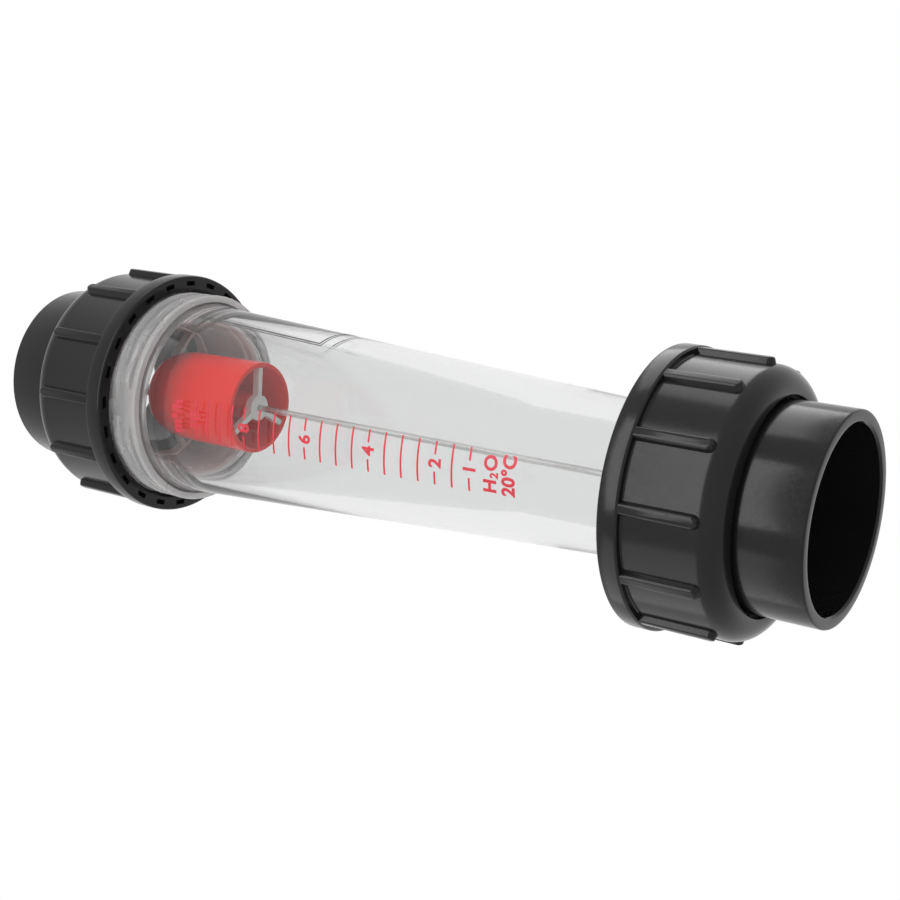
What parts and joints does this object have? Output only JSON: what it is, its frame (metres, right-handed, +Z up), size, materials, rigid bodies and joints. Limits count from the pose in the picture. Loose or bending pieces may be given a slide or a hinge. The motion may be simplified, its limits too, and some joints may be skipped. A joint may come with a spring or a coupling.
{
  "type": "rotameter",
  "caption": "Clear tapered flow tube with a float on a central guide rod and a printed scale, joined by ribbed union nuts to a cement socket at each end.",
  "frame": {"origin": "centre of the inlet socket's mouth", "axes": "+Z up the flow axis, from the inlet to the outlet; the scale faces -Y; the frame for a label is centred on +X"},
  "size_m": [0.0982, 0.0982, 0.3507],
  "materials": {
    "socket_plastic": "semi-gloss moulded",
    "nut_plastic": "semi-gloss moulded",
    "clear_plastic": "clear",
    "white_plastic": "smooth",
    "red_plastic": "translucent",
    "stainless": "turned",
    "seal_rubber": "smooth"
  },
  "bodies": {
    "inlet_end": {"inlet_socket": "socket_plastic", "inlet_gasket": "seal_rubber"},
    "inlet_nut": {"inlet_union_nut": "nut_plastic"},
    "tube": {"measuring_tube": "clear_plastic", "guide_rod": "stainless", "inlet_stop": "white_plastic", "outlet_stop": "white_plastic", "inlet_buffer": "seal_rubber", "outlet_buffer": "seal_rubber", "rod_washers": "stainless", "rod_nuts": "stainless"},
    "float": {"float_shell": "red_plastic", "upper_bush": "white_plastic", "float_weight": "stainless", "float_spider": "white_plastic"},
    "outlet_end": {"outlet_socket": "socket_plastic", "outlet_gasket": "seal_rubber"},
    "outlet_nut": {"outlet_union_nut": "nut_plastic"}
  },
  "joints": [
    {"name": "inlet_nut_turn", "type": "hinge", "parent": "inlet_end", "child": "inlet_nut", "pos_m": [0, 0, 0.04], "axis": [0, 0, -1], "range_deg": [0, 1080]},
    {"name": "tube_lift", "type": "slide", "parent": "inlet_end", "child": "tube", "axis": [0, 0, 1], "range_m": [0, 0.018]},
    {"name": "float_travel", "type": "slide", "parent": "tube", "child": "float", "axis": [0, 0, 1], "range_m": [-0.1795, 0]},
    {"name": "outlet_lift", "type": "slide", "parent": "tube", "child": "outlet_end", "axis": [0, 0, 1], "range_m": [0, 0.018]},
    {"name": "outlet_nut_turn", "type": "hinge", "parent": "outlet_end", "child": "outlet_nut", "pos_m": [0, 0, 0.31], "axis": [0, 0, 1], "range_deg": [0, 1080]}
  ],
  "couplings": [
    {"joint": "tube_lift", "follows": "inlet_nut_turn", "m_per_rad": 0.00095493},
    {"joint": "outlet_lift", "follows": "outlet_nut_turn", "m_per_rad": 0.00095493}
  ]
}
